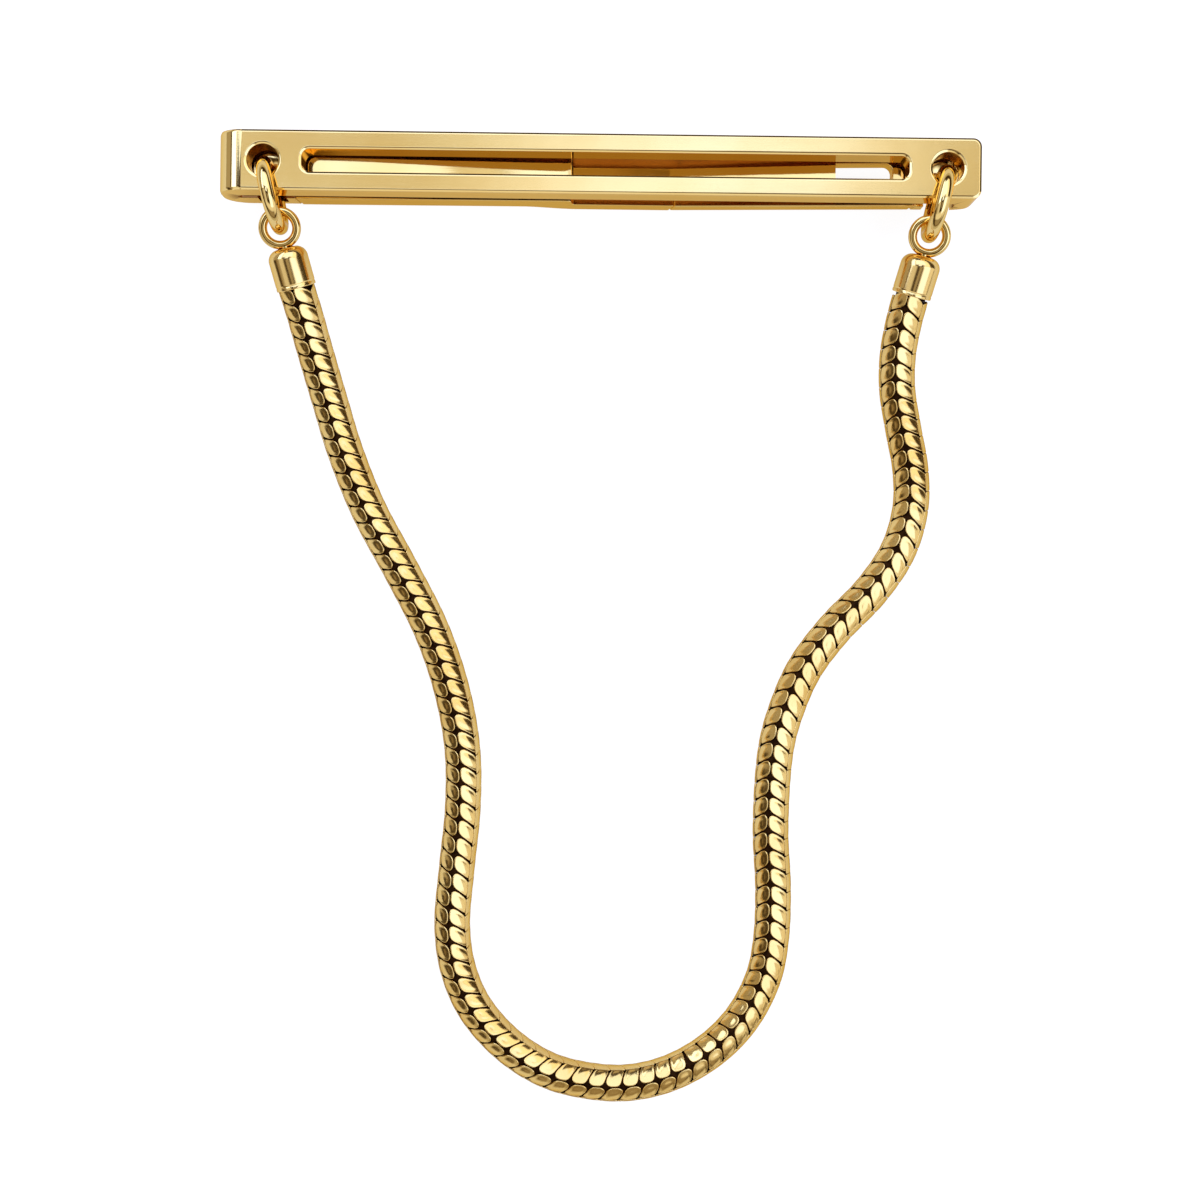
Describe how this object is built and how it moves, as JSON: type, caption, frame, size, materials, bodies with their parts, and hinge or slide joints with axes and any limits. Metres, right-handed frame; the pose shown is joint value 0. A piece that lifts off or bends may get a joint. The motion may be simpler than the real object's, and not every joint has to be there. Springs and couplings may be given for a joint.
{
  "type": "tie bar with chain",
  "caption": "Polished slotted tie bar with a sprung two-leaf back, and a round snake chain hung in a loop from jump rings at its ends.",
  "frame": {"origin": "midway between the two holes, on the flat of the spring leaf that it rests on when it lies face up", "axes": "+X along the bar to the wearer's view right, +Y away from the chain, +Z out of the front face"},
  "size_m": [0.0574, 0.0737, 0.0076],
  "materials": {
    "polished_gold": "mirror polished gold plate",
    "spring_gold": "polished gold plate on spring strip",
    "wire_gold": "polished gold-plated wire",
    "chain_gold": "polished gold-plated scale links with dark joints"
  },
  "bodies": {
    "bar": {"front_bar": "polished_gold"},
    "spring_leaf": {"spring_leaf": "spring_gold", "tongue_plate": "spring_gold"},
    "outer_leaf": {"outer_leaf": "spring_gold"},
    "left_ring": {"left_jump_ring": "wire_gold"},
    "right_ring": {"right_jump_ring": "wire_gold"},
    "chain": {"snake_chain": "chain_gold", "left_end_cap": "polished_gold", "right_end_cap": "polished_gold", "left_eye_pin": "wire_gold", "right_eye_pin": "wire_gold"}
  },
  "joints": [
    {"name": "spring_leaf_flex", "type": "hinge", "parent": "bar", "child": "spring_leaf", "pos_m": [-0.02344, 0, 0.00175], "axis": [0, -1, 0], "range_deg": [0, 0.4], "stiffness_Nm_per_rad": 0.2},
    {"name": "outer_leaf_flex", "type": "hinge", "parent": "bar", "child": "outer_leaf", "pos_m": [0.02344, 0, 0.00202], "axis": [0, -1, 0], "range_deg": [0, 5], "stiffness_Nm_per_rad": 0.2},
    {"name": "left_ring_turn", "type": "hinge", "parent": "bar", "child": "left_ring", "pos_m": [-0.02516, -0.00248, 0.0046], "axis": [0.9724, 0.2334, 0], "continuous": true},
    {"name": "right_ring_turn", "type": "hinge", "parent": "bar", "child": "right_ring", "pos_m": [0.02516, -0.00248, 0.0046], "axis": [0.9724, -0.2334, 0], "continuous": true},
    {"name": "chain_swing", "type": "hinge", "parent": "bar", "child": "chain", "pos_m": [0, -0.00248, 0.0046], "axis": [-1, 0, 0], "range_deg": [0, 60]}
  ]
}
